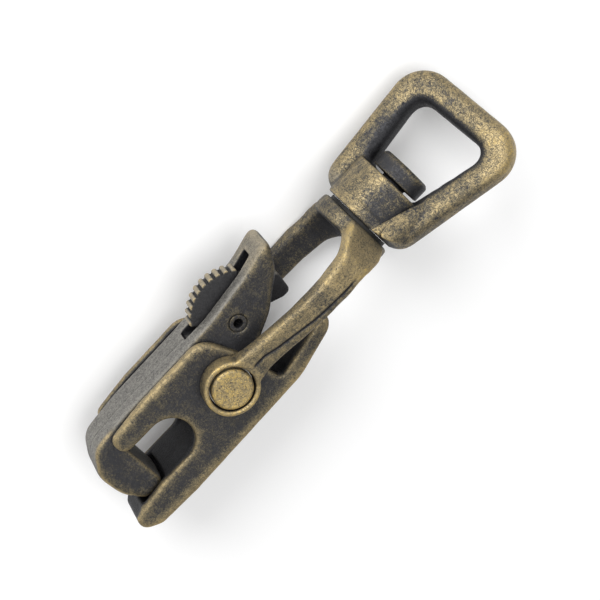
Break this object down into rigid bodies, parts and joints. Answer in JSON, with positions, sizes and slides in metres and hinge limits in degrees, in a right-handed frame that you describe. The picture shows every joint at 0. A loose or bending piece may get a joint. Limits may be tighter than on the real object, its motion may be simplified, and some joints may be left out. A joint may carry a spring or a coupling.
{
  "type": "carabiner keyring",
  "caption": "Antique-brass key clip with a sprung lever hook, a knurled thumb latch, a pivoting bail and a swivelling trapezoid strap loop.",
  "frame": {"origin": "middle of the underside, with the clip lying on its back", "axes": "+X from the hook end to the strap loop, +Y towards the lever's back and the thumb latch, +Z out of the front, along the main pivot"},
  "size_m": [0.0892, 0.0232, 0.0236],
  "materials": {
    "cast": "antique brass, dark in the hollows and rubbed bright on the edges",
    "dark_cast": "dark antique brass",
    "rivet": "worn bright brass",
    "rivet_dark": "antique brass",
    "washer": "plain brass",
    "bush": "turned brass",
    "pin": "dark plated steel",
    "spring": "spring steel wire"
  },
  "bodies": {
    "frame": {"frame": "cast", "pivot_rivet": "rivet", "pivot_bush": "bush", "front_rivet_washer": "washer", "back_rivet_washer": "washer", "hook_spring": "spring"},
    "lever": {"hook_lever": "cast", "latch_pin": "pin"},
    "latch": {"thumb_latch": "dark_cast", "latch_spring": "spring"},
    "bail": {"bail": "cast", "swivel_rivet": "rivet_dark", "swivel_washer": "washer"},
    "loop": {"swivel_loop": "cast"}
  },
  "joints": [
    {"name": "hook_pivot", "type": "hinge", "parent": "frame", "child": "lever", "pos_m": [-0.01687, -0.00138, 0.0118], "axis": [0, 0, -1], "range_deg": [0, 18], "stiffness_Nm_per_rad": 0.12, "springref_deg": -22.92, "deforming": ["hook_spring"]},
    {"name": "latch_pivot", "type": "hinge", "parent": "lever", "child": "latch", "pos_m": [-0.00867, 0.00362, 0.0118], "axis": [0, 0, 1], "range_deg": [0, 12], "stiffness_Nm_per_rad": 0.01, "springref_deg": -17.19, "deforming": ["latch_spring"]},
    {"name": "bail_pivot", "type": "hinge", "parent": "frame", "child": "bail", "pos_m": [-0.01687, -0.00138, 0.0118], "axis": [0, 0, 1], "continuous": true},
    {"name": "loop_swivel", "type": "hinge", "parent": "bail", "child": "loop", "pos_m": [0.02148, -0.00138, 0.0118], "axis": [1, 0, 0], "continuous": true}
  ]
}
